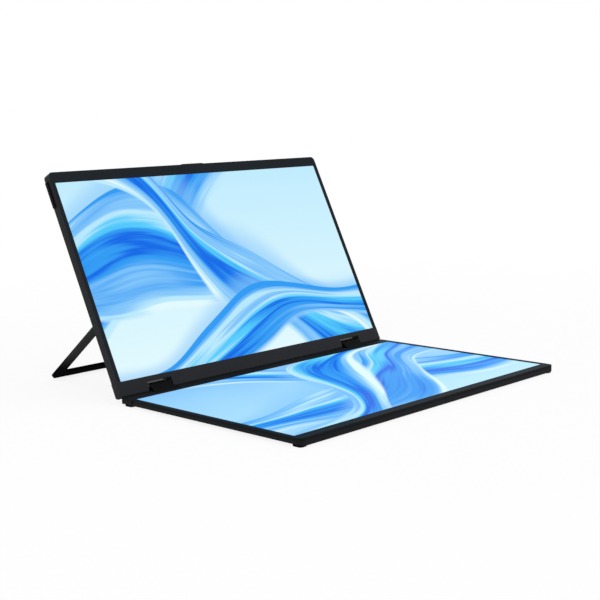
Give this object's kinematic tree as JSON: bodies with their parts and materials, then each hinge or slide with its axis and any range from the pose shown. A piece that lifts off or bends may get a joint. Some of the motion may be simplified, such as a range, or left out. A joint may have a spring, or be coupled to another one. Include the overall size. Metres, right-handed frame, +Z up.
{
  "type": "dual portable monitor",
  "caption": "Folding portable monitor: thin screens joined by double-axis hinges, the upper one propped on a U-shaped rear stand.",
  "frame": {"origin": "middle of the whole object's footprint, on the table", "axes": "+X along the hinge to the viewer's right, +Y to the back, +Z up; the lower display lies on the table and the upper one leans back"},
  "size_m": [0.356, 0.3628, 0.2033],
  "materials": {
    "bezel_plastic": "fine matte texture, near black",
    "cover_plastic": "fine matte texture, dark grey",
    "screen_glass": "lit screen with a smooth surface",
    "light_guide": "clear and polished",
    "lamp_strip": "white strip with lamps",
    "chassis_metal": "rolled sheet",
    "circuit_board": "green solder mask",
    "shield_metal": "tinned sheet",
    "ribbon_film": "amber film",
    "bracket_steel": "stamped steel",
    "shaft_steel": "ground steel",
    "screw_steel": "black coated steel",
    "link_metal": "dark satin coating",
    "stand_metal": "dark anodised",
    "rubber": "dull black",
    "key_plastic": "satin black",
    "socket_shell": "plated shell",
    "speaker_plastic": "black box",
    "light_pipe": "frosted clear"
  },
  "bodies": {
    "lower_display": {"lower_front_bezel": "bezel_plastic", "lower_bottom_cover": "cover_plastic", "lower_lcd_cell": "screen_glass", "lower_backlight": "light_guide", "lower_led_bar": "lamp_strip", "lower_chassis": "chassis_metal", "lower_driver_board": "circuit_board", "lower_display_ribbon": "ribbon_film", "lower_rubber_feet": "rubber", "lower_cover_screws": "screw_steel", "lower_bracket_screws": "screw_steel", "lower_hinge_bracket_left": "bracket_steel", "lower_hinge_bracket_right": "bracket_steel", "lower_hinge_shaft_left": "shaft_steel", "lower_hinge_shaft_right": "shaft_steel", "lower_friction_washers": "shaft_steel", "lower_retaining_clips": "shaft_steel"},
    "hinge_links": {"hinge_link_left": "link_metal", "hinge_link_right": "link_metal"},
    "upper_display": {"upper_front_bezel": "bezel_plastic", "upper_back_cover": "cover_plastic", "upper_lcd_cell": "screen_glass", "upper_backlight": "light_guide", "upper_led_bar": "lamp_strip", "upper_chassis": "chassis_metal", "upper_driver_board": "circuit_board", "upper_display_ribbon": "ribbon_film", "rear_rubber_pads": "rubber", "upper_cover_screws": "screw_steel", "upper_bracket_screws": "screw_steel", "upper_hinge_bracket_left": "bracket_steel", "upper_hinge_bracket_right": "bracket_steel", "upper_hinge_shaft_left": "shaft_steel", "upper_hinge_shaft_right": "shaft_steel", "upper_friction_washers": "shaft_steel", "upper_retaining_clips": "shaft_steel", "main_board": "circuit_board", "board_shield": "shield_metal", "port_board": "circuit_board", "port_ribbon": "ribbon_film", "usb_c_sockets": "socket_shell", "mini_hdmi_socket": "socket_shell", "speaker_left": "speaker_plastic", "speaker_right": "speaker_plastic", "rocker_pin": "shaft_steel", "key_board": "circuit_board", "power_switch": "circuit_board", "status_light": "light_pipe", "lift_tab": "rubber", "stand_bracket_left": "bracket_steel", "stand_bracket_right": "bracket_steel", "stand_pin_left": "shaft_steel", "stand_pin_right": "shaft_steel", "stand_washers": "shaft_steel"},
    "stand": {"stand_frame": "stand_metal", "stand_foot_strip": "rubber"},
    "rocker": {"rocker_key": "key_plastic"},
    "power_button": {"power_key": "key_plastic"}
  },
  "joints": [
    {"name": "lower_hinge", "type": "hinge", "parent": "lower_display", "child": "hinge_links", "pos_m": [0, 0.03134, 0.004], "axis": [-1, 0, 0], "range_deg": [-57.95, 77.05]},
    {"name": "upper_hinge", "type": "hinge", "parent": "hinge_links", "child": "upper_display", "pos_m": [0, 0.0413, 0.01024], "axis": [-1, 0, 0], "range_deg": [-57.95, 77.05]},
    {"name": "stand_hinge", "type": "hinge", "parent": "upper_display", "child": "stand", "pos_m": [0, 0.07897, 0.08199], "axis": [1, 0, 0], "range_deg": [-2.6, 102.4]},
    {"name": "rocker_tilt", "type": "hinge", "parent": "upper_display", "child": "rocker", "pos_m": [-0.173, 0.12714, 0.18232], "axis": [0, -0.8996, 0.4368], "range_deg": [-1.9, 1.9], "stiffness_Nm_per_rad": 0.3},
    {"name": "power_press", "type": "slide", "parent": "upper_display", "child": "power_button", "axis": [-1, 0, 0], "range_m": [0, 0.0004], "stiffness_N_per_m": 1500, "springref_m": -0.0003}
  ],
  "couplings": [
    {"joint": "upper_hinge", "follows": "lower_hinge", "ratio": 1}
  ]
}
